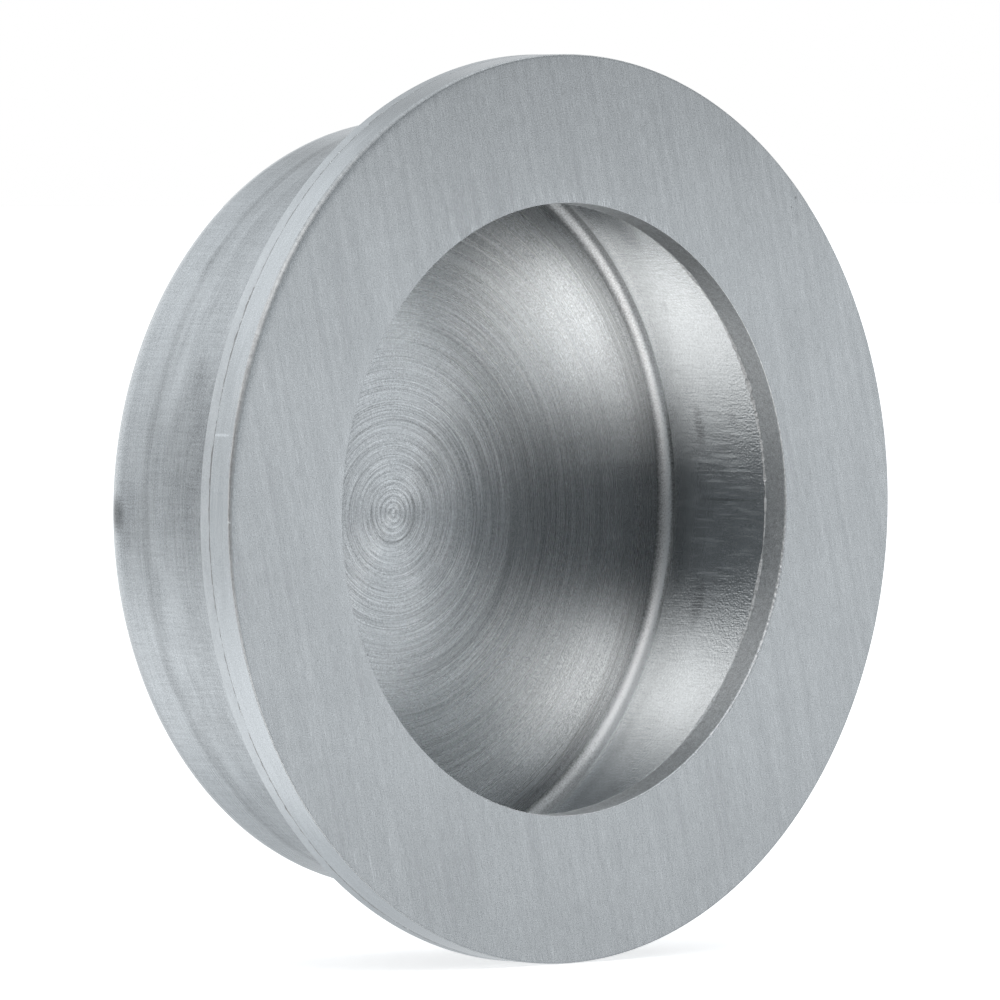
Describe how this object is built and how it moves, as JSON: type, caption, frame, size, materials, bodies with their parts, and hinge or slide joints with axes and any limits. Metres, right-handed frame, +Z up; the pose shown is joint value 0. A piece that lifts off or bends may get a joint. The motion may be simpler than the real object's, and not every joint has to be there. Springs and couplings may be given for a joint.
{
  "type": "flush pull",
  "caption": "Round recessed flush pull: a flat cover ring on a drawn steel cup, whose mouth is narrower than the recess so that fingers hook behind the lip.",
  "frame": {"origin": "on the pull's axis in the plane of the flange's back face, which is the door's surface", "axes": "+Y along the axis into the door, so the front face looks along -Y; +Z up; +X to the right seen from the front"},
  "size_m": [0.065, 0.0187, 0.065],
  "materials": {
    "brushed_ring": "satin, straight brushed face",
    "drawn_cup": "satin, turned floor and drawn wall"
  },
  "bodies": {
    "root": {"cover_ring": "brushed_ring", "recess_cup": "drawn_cup"}
  },
  "joints": []
}
